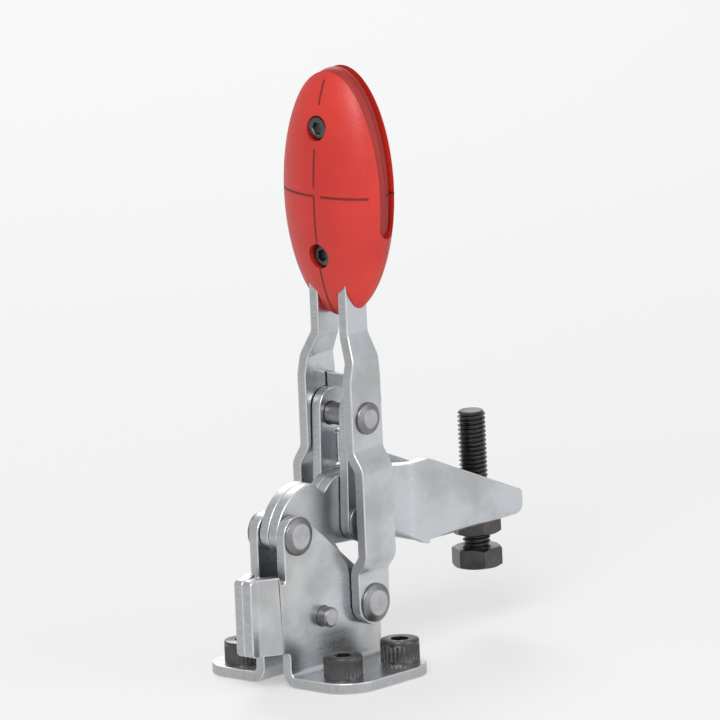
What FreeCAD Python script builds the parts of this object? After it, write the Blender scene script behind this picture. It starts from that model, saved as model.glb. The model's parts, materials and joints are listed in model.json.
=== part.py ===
import FreeCAD, Part
import math
import os

# Vertical-handle toggle clamp with a flanged base, drawn clamped. Millimetres.
# +X runs forward along the holding arm, +Y is its left side, +Z is up.
# The origin is the centre of the four base holes, on the underside of the base.

# Sheet metal and fits
sheet = 2.0               # thickness of every stamped steel piece
fold_radius = 0.5         # inside radius of the folds of the arm and the link
flange_radius = 1.0       # inside radius at the foot of the base
step_radius = 1.5         # inside radius of the shallow sideways steps
arm_slit = 0.1            # between the arm's two sides, pressed together behind the nose
arm_play = 0.15           # each side, between the arm and what straddles it
handle_play = 0.2         # each side, between the base or link and the handle
pin_play = 0.05           # radial, in every hole that turns on a rivet

# Pivots, in the side view
handle_pivot_x = 7.5
handle_pivot_z = 11.9
crank_length = 33.6       # handle pivot to the link's upper pivot
link_length = 19.2        # upper to lower pivot of the link
past_centre = 0.3         # how far the lower link pivot lies behind the handle's line
arm_pivot_x = -9.8
arm_pivot_rise = 0.9      # arm pivot above the lower link pivot
handle_opening = 60.0     # degrees

# Rivets
rivet_radius = 2.0
big_head = 3.5            # head radius on the base, the handle pivot and the arm
small_head = 2.9          # head radius on the upper link pivot
head_rise = 1.0
head_brim = 0.45          # height of the straight rim of a head
head_flat = 1.3           # how far the flat top keeps inside the rim
sleeve_wall = 1.4         # spacer sleeve on the handle pivot

# Base
flange_half_width = 18.3
flange_rear = 13.0        # how far the flanges reach behind the hole centre
flange_corner = 6.5       # radius of the outer flange corners
hole_pitch_x = 15.2
hole_pitch_y = 23.6
hole_radius = 2.25        # for M4 screws
base_rear = 20.4          # how far the closed rear edge lies behind the hole centre
rear_strip = 2.4          # width of the rear edge where the two plates touch
rear_step_run = 3.6       # length of the sideways step in front of that edge
rear_top = 20.6
rear_foot = 6.5           # underside of the rear edge, above the mounting plane
rear_corner = 1.0
relief_radius = 0.7       # slot at the foot of the arm pivot's lobe
arm_lobe = 3.6            # radius of the base around the arm pivot
handle_lobe = 3.8         # radius of the base around the handle pivot
stop_back = 11.3          # handle stop pin, behind the handle pivot
stop_drop = 0.5           # and below it
stop_radius = 1.8
stop_rise = 2.1           # how far each end stands proud of the base plate
stop_shoulder = 0.9       # extra radius between the base plates
stop_chamfer = 0.3

# Holding arm
arm_rise = 8.9            # top edge above the lower link pivot
arm_drop = 6.5            # underside of the nose below the lower link pivot
arm_reach = 47.0          # X of the blunt tip
arm_tip_height = 5.2
arm_back_radius = 9.2     # round rear end
arm_back_x = -3.8         # centre of that round end
arm_lap = 3.2             # metal round the arm pivot
link_lap = 3.6            # metal round the lower link pivot
nose_half = 7.0           # half the outside width of the nose
spread_from = 13.0        # X where the sides start to part
spread_to = 18.6
nose_start = 22.2         # X where the floor of the channel begins and the top edge starts to fall
nose_corner = 3.0
tip_corner = 1.0
hollow_x = 13.5           # crown of the hollow under the arm, behind the nose
hollow_rise = 0.9         # crown above the lowest metal of the link's lap
hollow_radius = 4.0
web_play = 0.3            # between the link's web and the notch in the arm's top edge

# Link
link_lobe = 3.4           # radius of the link's ends
end_lead = 0.5            # the round upper end lies ahead of its pivot
end_lift = 1.1            # and above it
horn_radius = 5.0         # stop horn in front of the upper end
horn_lead = 1.5           # middle of the horn's round front, ahead of the pivot
horn_lift = 2.0           # and above it
web_rise = 1.0            # gap between the arm's top edge and the web
web_height = 5.6
web_relief = 0.6          # slots at the ends of the web's folds

# Handle
plate_half = 4.0          # half the width of the plates
side_step = 2.0           # size of each sideways step of the plates
lower_step_drop = 8.0     # below the lower link pivot, where the plates step out round its rivet
lower_step_run = 2.5
upper_step_rise = 9.9     # above the lower link pivot, where they step back in
upper_step_run = 3.0
neck_step_rise = 10.4     # above the upper link pivot, where they step in again towards the grip
neck_step_run = 4.4
taper_rise = 7.3          # above the upper link pivot, where they begin to narrow
taper_run = 7.6
neck_rear = 5.4
neck_front = 10.9
tang_reach = 8.7          # the plates end this much above the middle of the grip
tang_corner = 2.0

# Grip
grip_x = 9.7
grip_rise = 40.8          # middle of the grip above the upper link pivot
grip_half_thick = 6.8
grip_half_wide = 11.7
grip_half_high = 23.0
grip_lean = 0.025         # forward slope of the grip's long axis
grip_split = 10.1         # X where the two shells meet
band_width = 4.2          # groove along the joint, over the top and down both sides
band_depth = 0.9
band_drop = 8.0           # lower end of the groove below the middle of the grip
tang_play = 0.1           # round the plates inside the shells
lower_screw_drop = 11.2   # below the middle of the grip
upper_screw_rise = 12.0   # above it
screw_radius = 1.3
screw_head_radius = 2.05
screw_head_height = 1.3
screw_seat = 5.8          # X of the floor of the screw wells
screw_tip = 13.4
well_play = 0.2
insert_radius = 2.0
insert_setback = 0.5      # behind the joint of the shells
insert_length = 3.4
oval_half_high = 9.1
oval_half_wide = 4.1
oval_depth = 0.9
oval_sink = 0.15          # the pad lies this much below the grip's surface
oval_play = 0.1

# Spindle
spindle_setback = 5.0     # axis behind the arm's tip
spindle_radius = 2.5
spindle_length = 24.8     # under the head
spindle_drop = 8.8        # contact face below the arm, as drawn
hex_flats = 8.0           # across flats, head and nuts
hex_head_height = 3.5
thin_nut = 2.7
full_nut = 4.0
thread_play = 0.05
spindle_hole_play = 0.25

# Layers across the clamp, as distances from its middle plane
arm_inner = arm_slit / 2
arm_outer = arm_inner + sheet
base_inner = arm_outer + arm_play
base_outer = base_inner + sheet
link_inner = base_inner
link_outer = link_inner + sheet
handle_inner = base_outer + handle_play
handle_outer = handle_inner + sheet
neck_inner = handle_inner - side_step
neck_outer = neck_inner + sheet
nose_inner = nose_half - sheet

# Places that follow from the sizes above
handle_pivot = (handle_pivot_x, handle_pivot_z)
upper_z = handle_pivot_z + crank_length
lower_z = upper_z - link_length
upper_pivot = (handle_pivot_x, upper_z)
lower_pivot = (handle_pivot_x - past_centre, lower_z)
arm_pivot = (arm_pivot_x, lower_z + arm_pivot_rise)
stop_pin = (handle_pivot_x - stop_back, handle_pivot_z - stop_drop)
base_front = handle_pivot_x + handle_lobe
arm_top = lower_z + arm_rise
arm_foot = lower_z - arm_drop
arm_floor = arm_foot + sheet
arm_tip_top = arm_foot + arm_tip_height
hollow_z = lower_z - link_lap + hollow_rise
web_front = handle_pivot_x + link_lobe
web_rear = web_front - sheet
web_low = arm_top + web_rise
web_high = web_low + web_height
link_end = (handle_pivot_x + end_lead, upper_z + end_lift)
horn = (handle_pivot_x + horn_lead, upper_z + horn_lift)
bridge_foot = link_end[1] + link_lobe
lower_step_z = lower_z - lower_step_drop
upper_step_z = lower_z + upper_step_rise
neck_step_z = upper_z + neck_step_rise
taper_from = upper_z + taper_rise
taper_to = taper_from + taper_run
grip_z = upper_z + grip_rise
grip_top = grip_z + grip_half_high
tang_top = grip_z + tang_reach
band_end = grip_z - band_drop
screw_heights = [grip_z - lower_screw_drop, grip_z + upper_screw_rise]
spindle_x = arm_reach - spindle_setback
spindle_foot = arm_foot - spindle_drop
across_y = FreeCAD.Vector(0, 1, 0)


# Planes for flat outlines: each turns two numbers into a point
def side(u, v):
    return FreeCAD.Vector(u, 0, v)


def front(u, v):
    return FreeCAD.Vector(0, u, v)


def plan(u, v):
    return FreeCAD.Vector(u, v, 0)


# Face through corners given as (u, v) or (u, v, corner radius)
def outline(corners, plane):
    count = len(corners)
    ends = []
    for i, corner in enumerate(corners):
        here = plane(*corner[:2])
        if len(corner) < 3:
            ends.append((here, None, here))
            continue
        before = plane(*corners[i - 1][:2]) - here
        after = plane(*corners[(i + 1) % count][:2]) - here
        before.normalize()
        after.normalize()
        half_angle = before.getAngle(after) / 2
        reach = corner[2] / math.tan(half_angle)
        inward = before + after
        inward.normalize()
        crown = here + inward * (corner[2] / math.sin(half_angle) - corner[2])
        ends.append((here + before * reach, crown, here + after * reach))
    edges = []
    for i, (start, crown, finish) in enumerate(ends):
        if crown is not None:
            edges.append(Part.Arc(start, crown, finish).toShape())
        edges.append(Part.makeLine(finish, ends[(i + 1) % count][0]))
    return Part.Face(Part.Wire(edges))


# Side-view face drawn like a belt pulled anticlockwise round discs (x, z, radius). A
# negative radius is a disc that the belt passes on its far side, and 0 is a sharp corner.
def belt(discs):
    leaving = []
    for here, ahead in zip(discs, discs[1:] + discs[:1]):
        run = math.atan2(ahead[1] - here[1], ahead[0] - here[0])
        lean = math.acos((here[2] - ahead[2]) / math.dist(here[:2], ahead[:2]))
        leaving.append(run - lean)

    def rim(disc, angle):
        return side(disc[0] + disc[2] * math.cos(angle), disc[1] + disc[2] * math.sin(angle))

    edges = []
    for i, disc in enumerate(discs):
        turn = (leaving[i] - leaving[i - 1]) % (2 * math.pi)
        if disc[2] < 0:
            turn -= 2 * math.pi
        if disc[2] != 0:
            crown = rim(disc, leaving[i] - turn / 2)
            edges.append(Part.Arc(rim(disc, leaving[i - 1]), crown, rim(disc, leaving[i])).toShape())
        ahead = discs[(i + 1) % len(discs)]
        edges.append(Part.makeLine(rim(disc, leaving[i]), rim(ahead, leaving[i])))
    return Part.Face(Part.Wire(edges))


# Section of a bent sheet: the line is one face of it and the metal lies on its left
def bent_sheet(line, plane, radius):
    headings = [math.atan2(b[1] - a[1], b[0] - a[0]) for a, b in zip(line, line[1:])]

    def across(point, heading, distance):
        return (point[0] - distance * math.sin(heading), point[1] + distance * math.cos(heading))

    near = [line[0]]
    far = [across(line[0], headings[0], sheet)]
    for point, before, after in zip(line[1:], headings, headings[1:]):
        turn = (after - before + math.pi) % (2 * math.pi) - math.pi
        left = turn > 0
        near.append((*point, radius + sheet if left else radius))
        corner = across(point, before + turn / 2, sheet / math.cos(turn / 2))
        far.append((*corner, radius if left else radius + sheet))
    near.append(line[-1])
    far.append(across(line[-1], headings[-1], sheet))
    return outline(near + far[::-1], plane)


# Side-view face made solid from one Y to another
def through(face, start, finish):
    solid = face.extrude(across_y * (finish - start))
    solid.translate(across_y * start)
    return solid


# Round bar or hole across the clamp, from one Y to another
def bar(centre, radius, start, finish):
    base = FreeCAD.Vector(centre[0], start, centre[1])
    return Part.makeCylinder(radius, finish - start, base, across_y)


def mirrored(shape):
    return shape.mirror(FreeCAD.Vector(0, 0, 0), across_y)


# Solid turned about a pivot's axis, from (radius, Y) points
def turned(centre, points):
    face = outline(points, lambda u, v: FreeCAD.Vector(centre[0] + u, v, centre[1]))
    return face.revolve(side(*centre), across_y, 360)


# Degrees between the link and the line of the arm's two pivots, at a handle opening
def link_to_arm(opening):
    angle = math.radians(opening)
    top = (handle_pivot_x - crank_length * math.sin(angle), handle_pivot_z + crank_length * math.cos(angle))
    rocker = math.dist(arm_pivot, lower_pivot)
    opposite = math.dist(arm_pivot, top)
    cosine = (rocker ** 2 + link_length ** 2 - opposite ** 2) / (2 * rocker * link_length)
    return math.degrees(math.acos(cosine))


# Base: two mirrored plates that touch along the rear edge and part round the arm
def base_outline():
    lobe_rear = arm_pivot_x - arm_lobe
    return belt([
        (-flange_rear, 0, 0),
        (base_front, 0, 0),
        (*handle_pivot, handle_lobe),
        (*arm_pivot, arm_lobe),
        (lobe_rear - relief_radius, rear_top - relief_radius, -relief_radius),
        (lobe_rear - 2 * relief_radius, rear_top, 0),
        (-base_rear + rear_corner, rear_top - rear_corner, rear_corner),
        (-base_rear + rear_corner, rear_foot + rear_corner, rear_corner),
        (-flange_rear - rear_corner, rear_foot - rear_corner, -rear_corner),
    ])


def base_plate():
    step_start = -base_rear + rear_strip
    line = [(-base_rear, 0), (step_start, 0), (step_start + rear_step_run, base_inner), (base_front, base_inner)]
    wall = bent_sheet(line, plan, step_radius).extrude(FreeCAD.Vector(0, 0, arm_top))
    wall = wall.common(through(base_outline(), 0, base_outer))
    foot = Part.makeBox(base_rear + base_front, base_outer, flange_radius + sheet, side(-base_rear, 0))
    # the flange and the foot of the wall are one angle, up to the height of the rear edge
    angle = bent_sheet([(base_inner, rear_foot), (base_inner, 0), (flange_half_width, 0)], front, flange_radius)
    angle = angle.extrude(side(flange_rear + base_front, 0))
    angle.translate(side(-flange_rear, 0))
    corners = [(-flange_rear, 0), (base_front, 0), (base_front, flange_half_width, flange_corner),
               (-flange_rear, flange_half_width, flange_corner)]
    angle = angle.common(outline(corners, plan).extrude(FreeCAD.Vector(0, 0, rear_foot)))
    cuts = [bar(arm_pivot, rivet_radius, 0, base_outer),
            bar(handle_pivot, rivet_radius + pin_play, 0, base_outer),
            bar(stop_pin, stop_radius, 0, base_outer)]
    for x in (-hole_pitch_x / 2, hole_pitch_x / 2):
        cuts.append(Part.makeCylinder(hole_radius, sheet, FreeCAD.Vector(x, hole_pitch_y / 2, 0)))
    return wall.cut(foot).fuse(angle).cut(cuts).removeSplitter()


# Rivet with a low cone of a head outside each half width
def rivet(centre, head, half_width):
    top = half_width + head_rise
    brim = half_width + head_brim
    flat = head - head_flat
    return turned(centre, [(0, -top), (flat, -top), (head, -brim), (head, -half_width),
                           (rivet_radius, -half_width), (rivet_radius, half_width), (head, half_width),
                           (head, brim), (flat, top), (0, top)])


# The arm pivot's rivet is parted at the faces of the arm: its middle rides in the arm
def arm_rivet_ends():
    return rivet(arm_pivot, big_head, base_outer).cut(bar(arm_pivot, big_head, -base_inner, base_inner))


def arm_rivet_middle():
    return bar(arm_pivot, rivet_radius, -arm_outer, arm_outer)


def handle_stop():
    end = base_outer + stop_rise
    shoulder = stop_radius + stop_shoulder
    tip = stop_radius - stop_chamfer
    return turned(stop_pin, [(0, -end), (tip, -end), (stop_radius, stop_chamfer - end),
                             (stop_radius, -base_inner), (shoulder, -base_inner), (shoulder, base_inner),
                             (stop_radius, base_inner), (stop_radius, end - stop_chamfer), (tip, end), (0, end)])


def handle_sleeve():
    bore = rivet_radius + pin_play
    hole = bar(handle_pivot, bore, -base_inner, base_inner)
    return bar(handle_pivot, bore + sleeve_wall, -base_inner, base_inner).cut(hole)


# Arm: one folded blank, its sides pressed together behind and parted to a channel at the nose
def arm_outline():
    return belt([
        (nose_start, arm_foot + nose_corner, nose_corner),
        (arm_reach - tip_corner, arm_foot + tip_corner, tip_corner),
        (arm_reach - tip_corner, arm_tip_top - tip_corner, tip_corner),
        (nose_start, arm_top - nose_corner, nose_corner),
        (arm_back_x, arm_top - arm_back_radius, arm_back_radius),
        (*arm_pivot, arm_lap),
        (*lower_pivot, link_lap),
        (hollow_x, hollow_z - hollow_radius, -hollow_radius),
    ])


# What the link's web sweeps in the arm's own frame, with play, while the handle opens
def web_path():
    rear = web_rear - web_play
    low = web_low - web_play
    swing = link_to_arm(0) - min(link_to_arm(opening) for opening in range(int(handle_opening) + 1))
    corners = [(-link_outer, low), (link_outer, low), (link_outer, web_high), (-link_outer, web_high)]
    face = outline(corners, front)
    face.translate(side(rear, 0))
    swept = face.revolve(side(*lower_pivot), across_y, -swing)
    return swept.fuse(face.extrude(side(sheet + 2 * web_play, 0)))


def arm():
    line = [(arm_back_x - 2 * arm_back_radius, arm_inner), (spread_from, arm_inner),
            (spread_to, nose_inner), (nose_start, nose_inner)]
    wall = bent_sheet(line, plan, step_radius).extrude(FreeCAD.Vector(0, 0, arm_top))
    wall = wall.common(through(arm_outline(), 0, nose_half))
    channel = bent_sheet([(nose_inner, arm_top), (nose_inner, arm_floor), (-nose_inner, arm_floor),
                          (-nose_inner, arm_top)], front, fold_radius)
    channel.translate(side(nose_start, 0))
    channel = channel.extrude(side(arm_reach - nose_start, 0))
    channel = channel.common(through(arm_outline(), -nose_half, nose_half))
    hole = Part.makeCylinder(spindle_radius + spindle_hole_play, sheet, side(spindle_x, arm_foot))
    cuts = [bar(arm_pivot, rivet_radius, -arm_outer, arm_outer),
            bar(lower_pivot, rivet_radius + pin_play, -arm_outer, arm_outer), web_path(), hole]
    return wall.fuse([mirrored(wall), channel]).cut(cuts).removeSplitter()


# Link: a yoke, two sides joined by a web across the front and by a bridge between the horns
def link_outline():
    return belt([
        (*lower_pivot, link_lobe),
        (web_front, horn[1] - horn_radius, 0),
        (*horn, horn_radius),
        (web_rear, horn[1] + horn_radius, 0),
        (web_rear, bridge_foot, 0),
        (*link_end, link_lobe),
    ])


def link():
    wall = through(link_outline(), link_inner, link_outer)
    fold_start = web_rear - fold_radius
    wall = wall.cut(Part.makeBox(sheet + fold_radius, sheet, web_height + 2 * web_relief,
                                 FreeCAD.Vector(fold_start, link_inner, web_low - web_relief)))
    web = bent_sheet([(fold_start - sheet, link_inner), (web_rear, link_inner), (web_rear, -link_inner),
                      (fold_start - sheet, -link_inner)], plan, fold_radius)
    web = web.extrude(FreeCAD.Vector(0, 0, web_height))
    web.translate(side(0, web_low))
    bridge = Part.makeBox(sheet, 2 * link_inner, horn_radius, FreeCAD.Vector(web_rear, -link_inner, bridge_foot))
    bridge = bridge.common(through(link_outline(), -link_inner, link_inner))
    holes = [bar(upper_pivot, rivet_radius + pin_play, -link_outer, link_outer),
             bar(lower_pivot, rivet_radius, -link_outer, link_outer)]
    return wall.fuse([mirrored(wall), web, bridge]).cut(holes).removeSplitter()


# Handle: two mirrored plates, stepped out over the link and in towards the grip
def handle_plate():
    rear = handle_pivot_x - plate_half
    ahead = handle_pivot_x + plate_half
    side_face = belt([
        (*handle_pivot, plate_half),
        (ahead, taper_from, 0),
        (neck_front, taper_to, 0),
        (neck_front - tang_corner, tang_top - tang_corner, tang_corner),
        (neck_rear + tang_corner, tang_top - tang_corner, tang_corner),
        (neck_rear, taper_to, 0),
        (rear, taper_from, 0),
    ])
    bulge_inner = handle_inner + side_step
    line = [(neck_inner, tang_top), (neck_inner, neck_step_z + neck_step_run), (handle_inner, neck_step_z),
            (handle_inner, upper_step_z + upper_step_run), (bulge_inner, upper_step_z),
            (bulge_inner, lower_step_z + lower_step_run), (handle_inner, lower_step_z), (handle_inner, 0)]
    plate = bent_sheet(line, front, step_radius)
    plate.translate(side(rear, 0))
    plate = plate.extrude(side(ahead - rear, 0))
    plate = plate.common(through(side_face, 0, bulge_inner + sheet))
    holes = [bar(pivot, rivet_radius, 0, handle_outer) for pivot in (handle_pivot, upper_pivot)]
    return plate.cut(holes).removeSplitter()


# Egg-shaped body of the grip, leaning forward and smaller all round by a depth
def egg(depth):
    scale = FreeCAD.Matrix()
    scale.scale(grip_half_thick - depth, grip_half_wide - depth, grip_half_high - depth)
    scale.A13 = grip_lean * (grip_half_high - depth)
    body = Part.makeSphere(1, side(0, 0), side(1, 0)).transformGeometry(scale)
    body.translate(side(grip_x, grip_z))
    return body


# Groove over the joint of the shells, with round lower ends
def band_groove():
    half = band_width / 2
    face = belt([(grip_split, band_end + half, half), (grip_split, grip_top + half, half)])
    return through(face, -grip_half_wide, grip_half_wide).cut(egg(band_depth))


# Room for the handle plates inside the grip
def tang_room():
    width = neck_front - neck_rear + 2 * tang_play
    rooms = []
    for inner in (neck_inner - tang_play, -neck_outer - tang_play):
        corner = FreeCAD.Vector(neck_rear - tang_play, inner, 0)
        rooms.append(Part.makeBox(width, sheet + 2 * tang_play, tang_top + tang_play, corner))
    return rooms


# Oval bar along X, from the middle of the grip out through its front
def oval_bar(play):
    scale = FreeCAD.Matrix()
    scale.scale(2 * grip_half_thick, oval_half_wide + play, oval_half_high + play)
    shape = Part.makeCylinder(1, 1, side(0, 0), side(1, 0)).transformGeometry(scale)
    shape.translate(side(grip_x, grip_z))
    return shape


def forward_bar(radius, height, start, finish):
    return Part.makeCylinder(radius, finish - start, side(start, height), side(1, 0))


# The part of the grip's egg from one X to another, grooved and hollowed for the plates
def half_shell(start, finish):
    block = Part.makeBox(finish - start, 2 * grip_half_wide, 2 * grip_half_high,
                         FreeCAD.Vector(start, -grip_half_wide, grip_z - grip_half_high))
    return egg(0).common(block).cut([band_groove()] + tang_room())


def rear_shell():
    rear = grip_x - grip_half_thick
    cuts = []
    for height in screw_heights:
        cuts.append(forward_bar(screw_head_radius + well_play, height, rear, screw_seat))
        cuts.append(forward_bar(screw_radius + well_play, height, rear, grip_split))
    return half_shell(rear, grip_split).cut(cuts)


def front_shell():
    insert_end = grip_split + insert_setback + insert_length
    cuts = [oval_bar(oval_play).cut(egg(oval_depth))]
    for height in screw_heights:
        cuts.append(forward_bar(insert_radius, height, grip_split, insert_end))
    return half_shell(grip_split, grip_x + grip_half_thick).cut(cuts)


def oval_pad():
    return oval_bar(0).common(egg(oval_sink)).cut(egg(oval_depth))


def screws():
    parts = []
    for height in screw_heights:
        head = forward_bar(screw_head_radius, height, screw_seat - screw_head_height, screw_seat)
        parts.append(head.fuse(forward_bar(screw_radius, height, screw_seat, screw_tip)))
    return Part.makeCompound(parts)


def inserts():
    start = grip_split + insert_setback
    parts = []
    for height in screw_heights:
        sleeve = forward_bar(insert_radius, height, start, start + insert_length)
        parts.append(sleeve.cut(forward_bar(screw_radius, height, start, start + insert_length)))
    return Part.makeCompound(parts)


# Hexagon on the spindle's axis, its corners turned off at both ends
def hexagon(base, height):
    corner_radius = hex_flats / math.sqrt(3)
    face_radius = hex_flats / 2
    slope = (corner_radius - face_radius) * math.tan(math.radians(30))
    corners = [(spindle_x + corner_radius * math.cos(math.radians(60 * i)),
                corner_radius * math.sin(math.radians(60 * i))) for i in range(6)]
    prism = outline(corners, plan).extrude(FreeCAD.Vector(0, 0, height))
    profile = [(0, 0), (face_radius, 0), (corner_radius, slope), (corner_radius, height - slope),
               (face_radius, height), (0, height)]
    lathe = outline(profile, lambda u, v: side(spindle_x + u, v))
    lathe = lathe.revolve(side(spindle_x, 0), FreeCAD.Vector(0, 0, 1), 360)
    solid = prism.common(lathe)
    solid.translate(side(0, base))
    return solid


def spindle():
    shank = Part.makeCylinder(spindle_radius, spindle_length, side(spindle_x, spindle_foot + hex_head_height))
    return hexagon(spindle_foot, hex_head_height).fuse(shank)


def nut(base, height):
    bore = Part.makeCylinder(spindle_radius + thread_play, height, side(spindle_x, base))
    return hexagon(base, height).cut(bore)


left_base = base_plate()
left_handle = handle_plate()
nodes = {
    "base_plate_left": left_base,
    "base_plate_right": mirrored(left_base),
    "handle_stop_pin": handle_stop(),
    "handle_pivot_rivet": rivet(handle_pivot, big_head, handle_outer),
    "handle_pivot_spacer": handle_sleeve(),
    "arm_pivot_rivet": arm_rivet_ends(),
    "arm_pivot_pin": arm_rivet_middle(),
    "arm": arm(),
    "arm_link_rivet": rivet(lower_pivot, big_head, link_outer),
    "link": link(),
    "link_handle_rivet": rivet(upper_pivot, small_head, handle_outer),
    "handle_plate_left": left_handle,
    "handle_plate_right": mirrored(left_handle),
    "grip_front_shell": front_shell(),
    "grip_rear_shell": rear_shell(),
    "grip_screws": screws(),
    "grip_inserts": inserts(),
    "grip_inlay": oval_pad(),
    "spindle_bolt": spindle(),
    "upper_lock_nut": nut(arm_floor, full_nut),
    "lower_lock_nut": nut(arm_foot - thin_nut, thin_nut),
}

os.makedirs("parts", exist_ok=True)
for name, shape in nodes.items():
    shape.exportStep("parts/" + name + ".step")
    box = shape.BoundBox
    print(name, len(shape.Solids), shape.isValid(), round(shape.Volume, 1),
          [round(v, 2) for v in (box.XMin, box.XMax, box.YMin, box.YMax, box.ZMin, box.ZMax)])
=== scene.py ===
import bmesh
import bpy
import json
import math
from mathutils import Matrix, Vector

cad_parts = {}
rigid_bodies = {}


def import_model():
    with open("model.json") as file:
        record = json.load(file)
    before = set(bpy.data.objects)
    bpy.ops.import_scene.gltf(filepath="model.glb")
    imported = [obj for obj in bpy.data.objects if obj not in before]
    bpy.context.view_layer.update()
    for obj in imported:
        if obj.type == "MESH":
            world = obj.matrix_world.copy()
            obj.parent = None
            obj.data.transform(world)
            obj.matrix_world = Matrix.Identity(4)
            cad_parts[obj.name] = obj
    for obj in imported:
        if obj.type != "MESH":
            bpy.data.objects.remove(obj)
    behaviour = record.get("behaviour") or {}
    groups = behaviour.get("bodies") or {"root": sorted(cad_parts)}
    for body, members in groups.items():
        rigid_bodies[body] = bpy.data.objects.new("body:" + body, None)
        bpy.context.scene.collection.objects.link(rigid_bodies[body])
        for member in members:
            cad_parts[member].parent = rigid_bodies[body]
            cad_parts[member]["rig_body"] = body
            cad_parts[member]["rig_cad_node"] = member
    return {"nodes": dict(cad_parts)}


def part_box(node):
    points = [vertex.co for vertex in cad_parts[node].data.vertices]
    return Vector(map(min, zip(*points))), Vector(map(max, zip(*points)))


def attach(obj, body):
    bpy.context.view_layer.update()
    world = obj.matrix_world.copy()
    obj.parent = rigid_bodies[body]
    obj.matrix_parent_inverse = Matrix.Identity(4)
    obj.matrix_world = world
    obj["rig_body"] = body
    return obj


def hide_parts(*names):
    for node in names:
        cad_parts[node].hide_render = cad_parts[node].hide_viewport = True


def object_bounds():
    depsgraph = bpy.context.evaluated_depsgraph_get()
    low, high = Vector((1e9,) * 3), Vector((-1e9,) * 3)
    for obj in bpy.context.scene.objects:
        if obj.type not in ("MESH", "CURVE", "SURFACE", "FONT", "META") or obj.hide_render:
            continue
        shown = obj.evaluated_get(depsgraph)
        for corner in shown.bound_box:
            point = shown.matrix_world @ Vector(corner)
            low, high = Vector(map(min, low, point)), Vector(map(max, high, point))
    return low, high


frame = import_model()
cadLow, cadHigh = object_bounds()
upright = Vector((0, 0, 1))
acrossClamp = Vector((0, 1, 0))
print("frame loaded,", len(frame["nodes"]), "pieces of construction")

# How near two points have to be to count as one, in metres
nearness = {"points": 0.00001, "threadPoints": 0.000003, "cut": 0.0000001}


# One socket, with arithmetic that adds Math nodes
class Wire:
    def __init__(self, socket):
        self.socket = socket

    def maths(self, operation, *others):
        tree = self.socket.id_data
        node = tree.nodes.new("ShaderNodeMath")
        node.operation = operation
        for entry, value in zip(node.inputs, (self, *others)):
            if isinstance(value, Wire):
                tree.links.new(value.socket, entry)
            else:
                entry.default_value = value
        return Wire(node.outputs[0])

    def __add__(self, other):
        return self.maths("ADD", other)

    def __sub__(self, other):
        return self.maths("SUBTRACT", other)

    def __rsub__(self, other):
        return self * -1 + other

    def __mul__(self, other):
        return self.maths("MULTIPLY", other)

    __radd__ = __add__
    __rmul__ = __mul__


# One material: a Principled shader with patterns on Object coordinates
class Finish:
    def __init__(self, name, **constants):
        self.material = bpy.data.materials.new(name)
        self.material.use_nodes = True
        self.tree = self.material.node_tree
        self.shader = self.tree.nodes["Principled BSDF"]
        self.place = self.add("TexCoord", {}, {}, "Object")
        for socket, value in constants.items():
            self.shader.inputs[socket.replace("_", " ")].default_value = value

    def feed(self, entry, value):
        if isinstance(value, Wire):
            self.tree.links.new(value.socket, entry)
        else:
            entry.default_value = value

    def add(self, kind, settings, sockets, output=0):
        node = self.tree.nodes.new("ShaderNode" + kind)
        for key, value in settings.items():
            setattr(node, key, value)
        for key, value in sockets.items():
            self.feed(node.inputs[key], value)
        return Wire(node.outputs[output])

    # Cloudy pattern whose cells are about size metres, stretched by the three factors
    def noise(self, size, detail=2.0, stretch=(1, 1, 1), turn=(0, 0, 0)):
        scale = [1 / (size * s) for s in stretch]
        place = self.add("Mapping", {}, {"Vector": self.place, "Rotation": turn, "Scale": scale})
        return self.add("TexNoise", {}, {"Vector": place, "Scale": 1.0, "Detail": detail}, "Fac")

    def step(self, value, low, high):
        settings = {"interpolation_type": "SMOOTHSTEP"}
        return self.add("MapRange", settings, {"Value": value, "From Min": low, "From Max": high})

    # 1 inside any of the ranges, 0 outside
    def within(self, value, ranges, blur=0.00006):
        total = 0.0
        for low, high in ranges:
            entered = self.step(value, low - blur, low + blur)
            left = self.step(value, high - blur, high + blur)
            total = entered - left + total
        return total

    def along(self, axis):
        return self.add("SeparateXYZ", {}, {"Vector": self.place}, axis)

    def mixed(self, share, first, second):
        return self.add("Mix", {"data_type": "RGBA"}, {0: share, 6: first, 7: second}, 2)

    # Distance from an axis along X, Y or Z through a centre
    def awayFrom(self, centre, axis):
        keep = [0.0 if abs(a) > 0.5 else 1.0 for a in axis]
        offset = self.add("VectorMath", {"operation": "SUBTRACT"}, {0: self.place, 1: centre})
        flat = self.add("VectorMath", {"operation": "MULTIPLY"}, {0: offset, 1: keep})
        return self.add("VectorMath", {"operation": "LENGTH"}, {0: flat}, "Value")

    def wear(self, colour=None, roughness=None, height=None, depth=0.00002):
        if colour is not None:
            self.feed(self.shader.inputs["Base Color"], colour)
        if roughness is not None:
            self.feed(self.shader.inputs["Roughness"], roughness)
        if height is not None:
            bump = self.add("Bump", {}, {"Height": height, "Strength": 1.0, "Distance": depth}, "Normal")
            self.feed(self.shader.inputs["Normal"], bump)
        return self.material


def shade(red, green, blue):
    return (red, green, blue, 1.0)


# Zinc-plated sheet: rolling grain along X, soft clouds and a few fine scratches
zincLook = {
    "bright": shade(0.61, 0.63, 0.66),
    "dull": shade(0.47, 0.48, 0.49),
    "warm": shade(0.60, 0.57, 0.50),
    "cloud": 0.009,
    "grain": 0.0004,
    "scratch": 0.0016,
    "roughness": 0.30,
}


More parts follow.
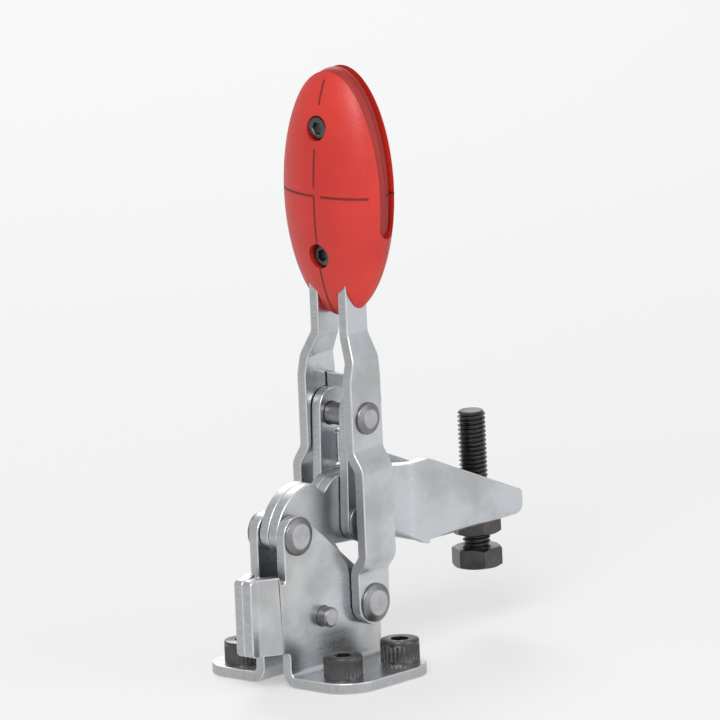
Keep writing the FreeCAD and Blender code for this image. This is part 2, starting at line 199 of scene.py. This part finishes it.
def zincSheet(name, grainAlong=(14, 1, 1)):
    look = zincLook
    finish = Finish(name, Metallic=1.0)
    clouds = finish.noise(look["cloud"], 4.0)
    grain = finish.noise(look["grain"], 3.0, grainAlong)
    lines = finish.noise(look["scratch"], 2.0, (9, 0.16, 0.16), (0.2, 0.7, 0.3))
    crossed = finish.noise(look["scratch"], 2.0, (0.16, 0.16, 10), (0.1, 0.5, -0.4))
    scratches = finish.step(lines, 0.69, 0.74) + finish.step(crossed, 0.70, 0.75)
    body = finish.mixed(finish.step(clouds, 0.38, 0.66), look["bright"], look["dull"])
    body = finish.mixed(finish.step(finish.noise(0.014, 1.0), 0.50, 0.78) * 0.35, body, look["warm"])
    body = finish.mixed(scratches * 0.35, body, shade(0.78, 0.79, 0.80))
    rough = (clouds - 0.5) * 0.22 + (grain - 0.5) * 0.16 + look["roughness"] - scratches * 0.06
    return finish.wear(body, rough, (grain - 0.5) * 0.5 - scratches * 0.4, 0.000012)


# Sheared edge of the sheet: streaks across the thickness
def zincCut(name, across):
    finish = Finish(name, Metallic=1.0)
    streaks = finish.noise(0.00022, 2.0, [9 if a else 1 for a in across])
    clouds = finish.noise(0.004, 2.0)
    body = finish.mixed(streaks, shade(0.34, 0.345, 0.35), shade(0.60, 0.61, 0.62))
    return finish.wear(body, clouds * 0.2 + 0.34, streaks, 0.00003)


# Rolled-over rim of the cut edges, rubbed bright
def zincRim(name):
    finish = Finish(name, Metallic=1.0)
    patches = finish.noise(0.0025, 3.0)
    body = finish.mixed(patches, shade(0.52, 0.53, 0.55), shade(0.80, 0.81, 0.82))
    return finish.wear(body, patches * 0.18 + 0.27)


# Rivet steel, darkened, with faint rings about its axis and rubbed bright within the flat of its head
def turnedSteel(name, centre, flatRadius, axis=acrossClamp):
    finish = Finish(name, Metallic=1.0)
    away = finish.awayFrom(centre, axis)
    wander = finish.noise(0.0012, 2.0)
    rings = (away * 14000 + wander * 3.0).maths("SINE") * 0.5 + 0.5
    stains = finish.noise(0.0016, 3.0)
    rubbed = 1 - finish.step(away, flatRadius - 0.00015, flatRadius + 0.00035)
    dark = finish.mixed(stains, shade(0.17, 0.17, 0.178), shade(0.30, 0.30, 0.306))
    bright = finish.mixed(stains, shade(0.44, 0.44, 0.45), shade(0.62, 0.62, 0.63))
    body = finish.mixed(rubbed * (stains * 0.5 + 0.6), dark, bright)
    return finish.wear(body, stains * 0.2 + rings * 0.06 + 0.26, rings, 0.000006)


# Black oxide on screws, nuts and the spindle, a little brown where it is rubbed
def blackOxide(name):
    finish = Finish(name, Metallic=1.0)
    stains = finish.noise(0.0022, 4.0)
    speck = finish.noise(0.0005, 2.0)
    body = finish.mixed(stains, shade(0.055, 0.057, 0.062), shade(0.150, 0.142, 0.134))
    return finish.wear(body, stains * 0.20 + 0.22, speck, 0.00001)


# Where the lines that the mould leaves on the shells and the groove over their joint run, in metres
gripLines = {
    "split": 0.0101,
    "seamHalfWidth": 0.00006,
    "grooveHalfWidth": 0.0021,
    "grooveInside": 0.00008,
    "grooveOutside": 0.00004,
    "seamBlur": 0.00003,
    "grooveEnd": 0.0804,
    "halfWidth": 0.0002,
    "middle": 0.0862,
    "depth": 0.00015,
    "rearUpright": [(0.0600, 0.0862), (0.0878, 0.0946), (0.1024, 0.1067)],
    "frontUpright": [(0.0600, 0.0772), (0.0978, 0.1067)],
    "rearAcross": [(-0.0101, -0.0015), (-0.0002, 0.0130)],
    "frontAcross": [(-0.0130, -0.0041), (0.0061, 0.0103)],
}


# Moulded red plastic with a spark-eroded grain, a little polished by hands, and painted shade darkening
# the groove
def gripPlastic(name, lines):
    finish = Finish(name, Specular_IOR_Level=0.5)
    x, y, z = (finish.along(axis) for axis in "XYZ")
    half, middle, split = lines["halfWidth"], lines["middle"], lines["split"]
    front = finish.step(x, split - 0.0001, split + 0.0001)
    rear = 1 - front
    below = (lines["grooveEnd"] - z).maths("MAXIMUM", 0.0)
    fromJoint = ((x - split) * (x - split) + below * below).maths("SQRT")
    reach = lines["grooveHalfWidth"]
    groove = 1 - finish.step(fromJoint, reach - lines["grooveInside"], reach + lines["grooveOutside"])
    upright = rear * finish.within(z, lines["rearUpright"])
    upright = upright + front * finish.within(z, lines["frontUpright"])
    across = rear * finish.within(y, lines["rearAcross"])
    across = across + front * finish.within(y, lines["frontAcross"])
    across = across * (1 - groove) + groove * front
    line = finish.within(y, [(-half, half)]) * upright
    line = line + finish.within(z, [(middle - half, middle + half)]) * across
    seam = lines["seamHalfWidth"]
    seamLine = finish.within(x, [(split - seam, split + seam)], lines["seamBlur"])
    line = line.maths("MAXIMUM", seamLine).maths("MINIMUM", 1.0)
    grain = finish.noise(0.00032, 3.0)
    handling = finish.noise(0.012, 3.0)
    handled = finish.step(handling, 0.3, 0.75)
    colour = finish.mixed(handled, shade(0.50, 0.018, 0.012), shade(0.60, 0.030, 0.018))
    specks = finish.step(finish.noise(0.0011, 3.0), 0.70, 0.80)
    colour = finish.mixed(specks * 0.25, colour, shade(0.72, 0.16, 0.12))
    # Painted shade: the groove over the shells' joint is coloured darker, as if shade lay in it
    colour = finish.mixed(groove * 0.75, colour, shade(0.24, 0.008, 0.006))
    colour = finish.mixed(line * 0.85, colour, shade(0.10, 0.004, 0.003))
    rough = grain * 0.16 + handling * 0.18 + line * 0.2 + groove * 0.08 + 0.26
    return finish.wear(colour, rough, grain * 0.2 - line, lines["depth"])


# Soft black rubber of the oval pad
def padRubber(name):
    finish = Finish(name, Specular_IOR_Level=0.4)
    grain = finish.noise(0.00028, 3.0)
    dust = finish.noise(0.005, 3.0)
    dusty = finish.step(dust, 0.45, 0.8)
    colour = finish.mixed(dusty, shade(0.018, 0.018, 0.019), shade(0.045, 0.043, 0.040))
    return finish.wear(colour, dust * 0.2 + 0.48, grain, 0.00004)


def brassTube(name):
    finish = Finish(name, Metallic=1.0)
    stains = finish.noise(0.0015, 2.0)
    body = finish.mixed(stains, shade(0.62, 0.43, 0.16), shade(0.72, 0.54, 0.25))
    return finish.wear(body, stains * 0.2 + 0.25)


zinc = zincSheet("zincSheet")
zincUpright = zincSheet("zincSheetUpright", (1, 14, 14))
cutAcross = zincCut("zincCutAcross", (0, 1, 0))
cutUpright = zincCut("zincCutUpright", (0, 0, 1))
rim = zincRim("zincRim")
oxide = blackOxide("blackOxide")
redGrip = gripPlastic("redGrip", gripLines)
blackPad = padRubber("blackPad")
brass = brassTube("brassTube")
print("materials made")


def onlySelect(*objects):
    bpy.ops.object.select_all(action="DESELECT")
    for obj in objects:
        obj.select_set(True)
    bpy.context.view_layer.objects.active = objects[0]


# Enters edit mode with only the points, edges or faces selected that pass the test
def picked(obj, kind, test):
    onlySelect(obj)
    bpy.ops.object.mode_set(mode="EDIT")
    bpy.ops.mesh.select_mode(type=kind)
    bpy.ops.mesh.select_all(action="DESELECT")
    bpy.ops.object.mode_set(mode="OBJECT")
    for element in {"VERT": obj.data.vertices, "EDGE": obj.data.edges, "FACE": obj.data.polygons}[kind]:
        element.select = test(element)
    bpy.ops.object.mode_set(mode="EDIT")


# Cuts the mesh in edit mode by a level plane, and may drop what lies above or below it
def levelCut(height, dropAbove=False, dropBelow=False):
    bpy.ops.mesh.select_all(action="SELECT")
    bpy.ops.mesh.bisect(plane_co=(0, 0, height), plane_no=(0, 0, 1), use_fill=dropAbove or dropBelow,
                        clear_outer=dropAbove, clear_inner=dropBelow, threshold=nearness["cut"])


def applied(obj, kind, **settings):
    onlySelect(obj)
    modifier = obj.modifiers.new(kind.lower(), kind)
    for key, value in settings.items():
        setattr(modifier, key, value)
    bpy.ops.object.modifier_apply(modifier=modifier.name)
    return obj


def settled(obj):
    onlySelect(obj)
    bpy.ops.object.transform_apply(location=True, rotation=True, scale=True)
    return obj


def smoothed(obj, degrees, flatter=False):
    onlySelect(obj)
    bpy.ops.object.shade_smooth_by_angle(angle=math.radians(degrees))
    if flatter:
        applied(obj, "WEIGHTED_NORMAL", keep_sharp=True)
    return obj


def cleaned(obj, flatness):
    onlySelect(obj)
    bpy.ops.object.mode_set(mode="EDIT")
    bpy.ops.mesh.select_mode(type="VERT")
    bpy.ops.mesh.select_all(action="SELECT")
    bpy.ops.mesh.remove_doubles(threshold=nearness["points"])
    bpy.ops.mesh.dissolve_limited(angle_limit=math.radians(flatness))
    bpy.ops.object.mode_set(mode="OBJECT")
    return obj


# Rounds the outward edges that are sharper than the corner angle, all of them or those along one axis
def softened(obj, width, corner=30, slotIndex=-1, axis=None):
    shape = bmesh.new()
    shape.from_mesh(obj.data)
    weight = shape.edges.layers.float.new("bevel_weight_edge")
    for edge in shape.edges:
        run = (edge.verts[1].co - edge.verts[0].co).normalized()
        along = axis is None or abs(run.dot(axis)) > 0.99
        if along and edge.is_manifold and edge.calc_face_angle_signed() > math.radians(corner):
            edge[weight] = 1
    shape.to_mesh(obj.data)
    shape.free()
    return applied(obj, "BEVEL", width=width, segments=2, limit_method="WEIGHT",
                   use_clamp_overlap=False, material=slotIndex)


def painted(obj, *materials):
    obj.data.materials.clear()
    for material in materials:
        obj.data.materials.append(material)
    return obj


# A copy of a construction node, merged, to get softer edges and its own finish
def copyOf(node, name, flatness=0.5):
    source = frame["nodes"][node]
    piece = source.copy()
    piece.data = source.data.copy()
    piece.name = name
    piece.parent = None
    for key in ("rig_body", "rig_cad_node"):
        del piece[key]
    bpy.context.scene.collection.objects.link(piece)
    if piece.data.has_custom_normals:
        onlySelect(piece)
        bpy.ops.mesh.customdata_custom_splitnormals_clear()
    return cleaned(piece, flatness)


def standsFor(piece, body, slot, *replaced):
    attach(piece, body)
    if replaced:
        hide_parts(*replaced)
    return piece


# Stamped sheet: face, cut edge and rolled rim each get their own finish
stampedEdge = {"rim": 0.00022, "footHeight": 0.0032, "facing": 0.3, "footHalfGap": 0.0055}


def stamped(node, name, body, face, hasFoot=False):
    piece = copyOf(node, name)
    painted(piece, face, cutAcross, cutUpright, rim)
    for polygon in piece.data.polygons:
        foot = hasFoot and polygon.center.z < stampedEdge["footHeight"]
        facing = abs(polygon.normal.z) if foot else abs(polygon.normal.y)
        acrossShare, acrossPlace = abs(polygon.normal.y), abs(polygon.center.y)
        turned = foot and acrossShare > stampedEdge["facing"] and acrossPlace < stampedEdge["footHalfGap"]
        if facing < stampedEdge["facing"] and not turned:
            polygon.material_index = 2 if foot else 1
    softened(piece, stampedEdge["rim"], slotIndex=3)
    smoothed(piece, 50, True)
    return standsFor(piece, body, "zinc_steel", node)


stamped("base_plate_left", "basePlateLeft", "base", zinc, True)
stamped("base_plate_right", "basePlateRight", "base", zinc, True)
stamped("arm", "holdingArm", "arm", zinc)
stamped("link", "linkYoke", "link", zincUpright)
stamped("handle_plate_left", "handlePlateLeft", "handle", zincUpright)
stamped("handle_plate_right", "handlePlateRight", "handle", zincUpright)
print("stamped pieces dressed")


# Rivets and pins: the name, the body and the radius of the flat that the riveting leaves bright
rivetSet = {
    "handle_pivot_rivet": ("handlePivotRivet", "handle", 0.0022),
    "handle_pivot_spacer": ("handlePivotSleeve", "base", 0.0),
    "arm_pivot_rivet": ("armPivotRivet", "base", 0.0022),
    "arm_link_rivet": ("armLinkRivet", "link", 0.0022),
    "link_handle_rivet": ("linkHandleRivet", "handle", 0.0016),
    "handle_stop_pin": ("handleStopPin", "base", 0.0014),
}
rivetEdge = {"width": 0.00014, "corner": 16}


def middleOf(node):
    low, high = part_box(node)
    return (low + high) / 2


for node, (name, body, flatRadius) in rivetSet.items():
    piece = copyOf(node, name)
    painted(piece, turnedSteel(name + "Steel", middleOf(node), flatRadius))
    softened(piece, rivetEdge["width"], rivetEdge["corner"])
    smoothed(piece, 50, True)
    standsFor(piece, body, "rivet_steel", node)
painted(frame["nodes"]["arm_pivot_pin"], turnedSteel("armPivotPinSteel", middleOf("arm_pivot_pin"), 0.0))
print("rivets dressed")


# Rod along Z from the origin upwards with a real helical thread, both ends chamfered
thread = {
    "steps": 28,
    "depth": 0.6,
    "margin": 0.00003,
    "start": -1.31,
    "spareTurns": 3,
    "profile": ((0, 0.12), (1, 0.36), (0, 0.16), (-1, 0.36)),
}


def threadedRod(name, radius, pitch, length, chamfer):
    depth = pitch * thread["depth"]
    turns = math.ceil(length / pitch) + thread["spareTurns"]
    bpy.ops.object.select_all(action="DESELECT")
    bpy.ops.mesh.primitive_plane_add(size=pitch, location=(0, 0, 0))
    rod = bpy.context.object
    rod.name = name
    bpy.ops.object.mode_set(mode="EDIT")
    bpy.ops.mesh.select_mode(type="VERT")
    bpy.ops.mesh.select_all(action="SELECT")
    bpy.ops.mesh.merge(type="CENTER")
    bpy.ops.transform.translate(value=(radius - depth, 0, thread["start"] * pitch))
    for outwards, along in thread["profile"]:
        move = (outwards * depth, 0, along * pitch)
        bpy.ops.mesh.extrude_region_move(TRANSFORM_OT_translate={"value": move})
    bpy.ops.object.mode_set(mode="OBJECT")
    applied(rod, "SCREW", axis="Z", angle=2 * math.pi, screw_offset=pitch, iterations=turns,
            steps=thread["steps"], render_steps=thread["steps"])
    bpy.ops.object.mode_set(mode="EDIT")
    bpy.ops.mesh.select_all(action="SELECT")
    bpy.ops.mesh.remove_doubles(threshold=nearness["threadPoints"])
    levelCut(0, dropBelow=True)
    levelCut(length, dropAbove=True)
    bpy.ops.mesh.select_all(action="SELECT")
    bpy.ops.mesh.normals_make_consistent(inside=False)
    bpy.ops.object.mode_set(mode="OBJECT")
    margin = thread["margin"]
    bpy.ops.object.select_all(action="DESELECT")
    bpy.ops.mesh.primitive_cylinder_add(vertices=2 * thread["steps"], radius=radius + margin,
                                        depth=length + 2 * margin, location=(0, 0, length / 2))
    blank = settled(bpy.context.object)
    applied(blank, "BEVEL", width=chamfer + margin, segments=1, limit_method="ANGLE",
            angle_limit=math.radians(60))
    applied(rod, "BOOLEAN", operation="INTERSECT", solver="EXACT", object=blank)
    bpy.data.objects.remove(blank)
    return rod


def joined(main, *others):
    onlySelect(main, *others)
    bpy.ops.object.join()
    return main


# Spindle: the bolt's own head, and a threaded shank in place of the plain one
spindle = {
    "radius": 0.0025,
    "headHeight": 0.0035,
    "headSpare": 0.0001,
    "pitch": 0.0008,
    "chamfer": 0.0005,
    "headEdge": 0.0001,
}


def makeSpindle():
    low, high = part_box("spindle_bolt")
    headTop = low.z + spindle["headHeight"]
    middle = (low + high) / 2
    head = copyOf("spindle_bolt", "spindleBolt")
    bpy.ops.object.mode_set(mode="EDIT")
    levelCut(headTop + spindle["headSpare"], dropAbove=True)
    bpy.ops.object.mode_set(mode="OBJECT")
    softened(head, spindle["headEdge"], axis=upright)
    length = high.z - headTop
    rod = threadedRod("spindleThread", spindle["radius"], spindle["pitch"], length, spindle["chamfer"])
    rod.location = (middle.x, middle.y, headTop)
    settled(rod)
    smoothed(rod, 35)
    smoothed(head, 25, True)
    joined(head, rod)
    painted(head, oxide)
    return standsFor(head, "spindle", "black_screw", "spindle_bolt")


makeSpindle()


def makeNut(node, name):
    piece = copyOf(node, name)
    painted(piece, oxide)
    softened(piece, spindle["headEdge"], axis=upright)
    smoothed(piece, 25, True)
    return standsFor(piece, "arm", "black_screw", node)


makeNut("upper_lock_nut", "upperLockNut")
makeNut("lower_lock_nut", "lowerLockNut")
print("spindle and nuts made")


# Socket screws, modelled standing on their seats at the origin
baseScrew = {
    "headRadius": 0.0035,
    "headHeight": 0.004,
    "shankRadius": 0.002,
    "shankLength": 0.0019,
    "pitch": 0.0007,
    "socketFlats": 0.003,
    "socketDepth": 0.002,
    "knurls": 34,
    "knurlDepth": 0.00018,
    "plainTop": 0.0009,
    "plainFoot": 0.0003,
    "chamfer": 0.0003,
    "tipChamfer": 0.0002,
    "turnStep": 0.7,
    "pitchX": 0.0152,
    "pitchY": 0.0236,
    "seat": 0.002,
}
gripScrew = {
    "headRadius": 0.00205,
    "headHeight": 0.0013,
    "shankRadius": 0.0013,
    "shankLength": 0.0076,
    "pitch": 0.00045,
    "socketFlats": 0.002,
    "socketDepth": 0.0009,
    "knurls": 28,
    "knurlDepth": 0.0001,
    "plainTop": 0.0004,
    "plainFoot": 0.0002,
    "chamfer": 0.00018,
    "tipChamfer": 0.0002,
}


# Cylinder head: a knurled band between two plain ones, and a chamfered top rim
def screwHead(s):
    radius, height = s["headRadius"], s["headHeight"]
    bpy.ops.object.select_all(action="DESELECT")
    bpy.ops.mesh.primitive_cylinder_add(vertices=2 * s["knurls"], radius=radius, depth=height,
                                        location=(0, 0, height / 2))
    head = settled(bpy.context.object)
    bandLow, bandHigh, ramp = s["plainFoot"], height - s["plainTop"], s["knurlDepth"]
    bpy.ops.object.mode_set(mode="EDIT")
    for level in (bandLow, bandLow + ramp, bandHigh - ramp, bandHigh):
        levelCut(level)
    bpy.ops.object.mode_set(mode="OBJECT")

    def isGroove(vertex):
        turn = math.atan2(vertex.co.y, vertex.co.x) * s["knurls"] / math.pi
        return bandLow + ramp / 2 < vertex.co.z < bandHigh - ramp / 2 and round(turn) % 2 == 1

    picked(head, "VERT", isGroove)
    shrink = 1 - s["knurlDepth"] / radius
    bpy.ops.transform.resize(value=(shrink, shrink, 1), center_override=(0, 0, height / 2))
    bpy.ops.object.mode_set(mode="OBJECT")
    heights = [vertex.co.z for vertex in head.data.vertices]
    top = height - nearness["points"]
    picked(head, "EDGE", lambda edge: min(heights[v] for v in edge.vertices) > top)
    bpy.ops.mesh.bevel(offset=s["chamfer"], segments=2, affect="EDGES", profile=0.5)
    bpy.ops.object.mode_set(mode="OBJECT")
    return head


# Hexagon socket with a coned floor
def socketCutter(s):
    corner = s["socketFlats"] / math.sqrt(3)
    bpy.ops.object.select_all(action="DESELECT")
    bpy.ops.mesh.primitive_cylinder_add(vertices=6, radius=corner, depth=2 * s["socketDepth"],
                                        location=(0, 0, s["headHeight"]))
    cutter = settled(bpy.context.object)
    picked(cutter, "FACE", lambda face: face.normal.z < -0.9)
    bpy.ops.mesh.inset(thickness=corner * 0.12)
    bpy.ops.transform.translate(value=(0, 0, -s["socketDepth"] * 0.2))
    bpy.ops.mesh.merge(type="CENTER")
    bpy.ops.object.mode_set(mode="OBJECT")
    return cutter


def socketScrew(s):
    screw = screwHead(s)
    cutter = socketCutter(s)
    applied(screw, "BOOLEAN", operation="DIFFERENCE", solver="EXACT", object=cutter)
    bpy.data.objects.remove(cutter)
    near = nearness["points"]
    corner = s["socketFlats"] / math.sqrt(3) + near
    rim = [abs(v.co.z - s["headHeight"]) < near and v.co.xy.length < corner for v in screw.data.vertices]
    picked(screw, "EDGE", lambda edge: all(rim[v] for v in edge.vertices))
    bpy.ops.mesh.bevel(offset=s["chamfer"] / 3, segments=1, affect="EDGES")
    bpy.ops.object.mode_set(mode="OBJECT")
    shank = threadedRod("screwShank", s["shankRadius"], s["pitch"], s["shankLength"], s["tipChamfer"])
    shank.location = (0, 0, -s["shankLength"])
    settled(shank)
    joined(screw, shank)
    smoothed(screw, 32)
    return painted(screw, oxide)


def placedCopy(first, name, place, *turns):
    screw = first.copy()
    screw.data = first.data.copy()
    screw.name = name
    bpy.context.scene.collection.objects.link(screw)
    matrix = Matrix.Translation(place)
    for angle, axis in turns:
        matrix = matrix @ Matrix.Rotation(angle, 4, axis)
    screw.matrix_world = matrix
    return settled(screw)


def makeBaseScrews(s):
    first = socketScrew(s)
    count = 0
    for x in (-s["pitchX"] / 2, s["pitchX"] / 2):
        for y in (-s["pitchY"] / 2, s["pitchY"] / 2):
            count += 1
            turn = (s["turnStep"] * count, upright)
            screw = placedCopy(first, "baseSocketScrew" + str(count), (x, y, s["seat"]), turn)
            standsFor(screw, "base", "black_screw")
    bpy.data.objects.remove(first)


# Both lie on their backs in the wells, heads to the rear
def makeGripScrews(s):
    first = socketScrew(s)
    low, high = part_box("grip_screws")
    seat = low.x + s["headHeight"]
    for name, z, turn in (("gripScrewLower", low.z + s["headRadius"], 0.5),
                          ("gripScrewUpper", high.z - s["headRadius"], 1.1)):
        screw = placedCopy(first, name, (seat, 0, z), (-math.pi / 2, acrossClamp), (turn, upright))
        standsFor(screw, "handle", "black_screw", "grip_screws")
    bpy.data.objects.remove(first)


makeBaseScrews(baseScrew)
makeGripScrews(gripScrew)
print("socket screws made")


# Grip: the two shells, the oval pad and the inserts
def makeShell(node, name):
    piece = copyOf(node, name, 0.05)
    painted(piece, redGrip)
    smoothed(piece, 32)
    return standsFor(piece, "handle", "grip_red", node)


makeShell("grip_rear_shell", "gripRearShell")
makeShell("grip_front_shell", "gripFrontShell")
pad = painted(copyOf("grip_inlay", "gripOvalPad", 0.05), blackPad)
smoothed(pad, 32)
standsFor(pad, "handle", "grip_black", "grip_inlay")
painted(frame["nodes"]["grip_inserts"], brass)
print("grip dressed")


# Studio: pale floor, soft lamps and the drawing's point of view
studio = {
    "azimuth": 312.3,
    "elevation": 13.1,
    "roll": -2.47,
    "frameHeight": 0.128,
    "distance": 1.2,
    "floorSize": 6.0,
    "floorShade": 0.80,
    "floorCloud": 0.02,
    "paleShade": 0.86,
    "backdropShade": 0.70,
    "worldLight": 0.52,
    "skyTint": (0.97, 0.985, 1.0),
    "aim": (0.01, 0, 0.05),
    "clipEnd": 20,
    "lamps": [
        ("keyLamp", (-0.55, -0.35, 0.60), 0.40, 4.4),
        ("fillLamp", (0.15, -0.75, 0.30), 0.60, 1.4),
        ("rimLamp", (0.45, 0.55, 0.55), 0.40, 3.0),
    ],
}


# What the camera sees directly, in metal or through glass
def seenRays(tree):
    rays = tree.nodes.new("ShaderNodeLightPath")
    seen = Wire(rays.outputs["Is Camera Ray"])
    for kind in ("Is Glossy Ray", "Is Transmission Ray"):
        seen = seen.maths("MAXIMUM", Wire(rays.outputs[kind]))
    return seen


# Half of the pale floor is its own colour, so that it stays even, and half takes light and shadow
def makeFloor(s):
    bpy.ops.object.select_all(action="DESELECT")
    bpy.ops.mesh.primitive_plane_add(size=s["floorSize"], location=(0, 0, 0))
    floor = bpy.context.object
    floor.name = "paleFloor"
    finish = Finish("paleFloor", Roughness=0.9, Specular_IOR_Level=0.1)
    cloud = finish.noise(0.3, 2.0)
    low, pale = s["floorShade"], s["paleShade"]
    high = low + s["floorCloud"]
    finish.wear(finish.mixed(cloud, shade(low, low, low), shade(high, high, high)))
    own = finish.add("Emission", {}, {"Color": shade(pale, pale, pale)}, "Emission")
    lit = Wire(finish.shader.outputs["BSDF"])
    both = finish.add("MixShader", {}, {0: seenRays(finish.tree) * 0.5, 1: lit, 2: own}, "Shader")
    finish.feed(finish.tree.nodes["Material Output"].inputs["Surface"], both)
    painted(floor, finish.material)


def makeWorld(s):
    world = bpy.data.worlds.new("paleStudio")
    world.use_nodes = True
    tree = world.node_tree
    sky = tree.nodes["Background"]
    sky.inputs["Color"].default_value = shade(*s["skyTint"])
    strength = seenRays(tree) * (s["backdropShade"] - s["worldLight"]) + s["worldLight"]
    tree.links.new(strength.socket, sky.inputs["Strength"])
    bpy.context.scene.world = world


def makeLamps(s):
    for name, place, size, power in s["lamps"]:
        lamp = bpy.data.lights.new(name, "AREA")
        lamp.size = size
        lamp.energy = power
        holder = bpy.data.objects.new(name, lamp)
        holder.location = place
        aim = Vector(s["aim"]) - Vector(place)
        holder.rotation_euler = aim.to_track_quat("-Z", "Y").to_euler()
        bpy.context.scene.collection.objects.link(holder)


def makeCamera(s):
    around, up, roll = (math.radians(s[key]) for key in ("azimuth", "elevation", "roll"))
    back = Vector((math.sin(around) * math.cos(up), -math.cos(around) * math.cos(up), math.sin(up)))
    level = Vector((math.cos(around), math.sin(around), 0))
    right = level * math.cos(roll) + back.cross(level) * math.sin(roll)
    turn = Matrix((right, back.cross(right), back)).transposed()
    lens = bpy.data.cameras.new("drawingView")
    lens.type = "ORTHO"
    lens.ortho_scale = s["frameHeight"]
    lens.clip_end = s["clipEnd"]
    camera = bpy.data.objects.new("drawingView", lens)
    camera.rotation_euler = turn.to_euler()
    camera.location = (cadLow + cadHigh) / 2 + back * s["distance"]
    bpy.context.scene.collection.objects.link(camera)
    bpy.context.scene.camera = camera


makeFloor(studio)
makeWorld(studio)
makeLamps(studio)
makeCamera(studio)
bpy.context.scene.view_settings.view_transform = "Standard"
print("studio ready")
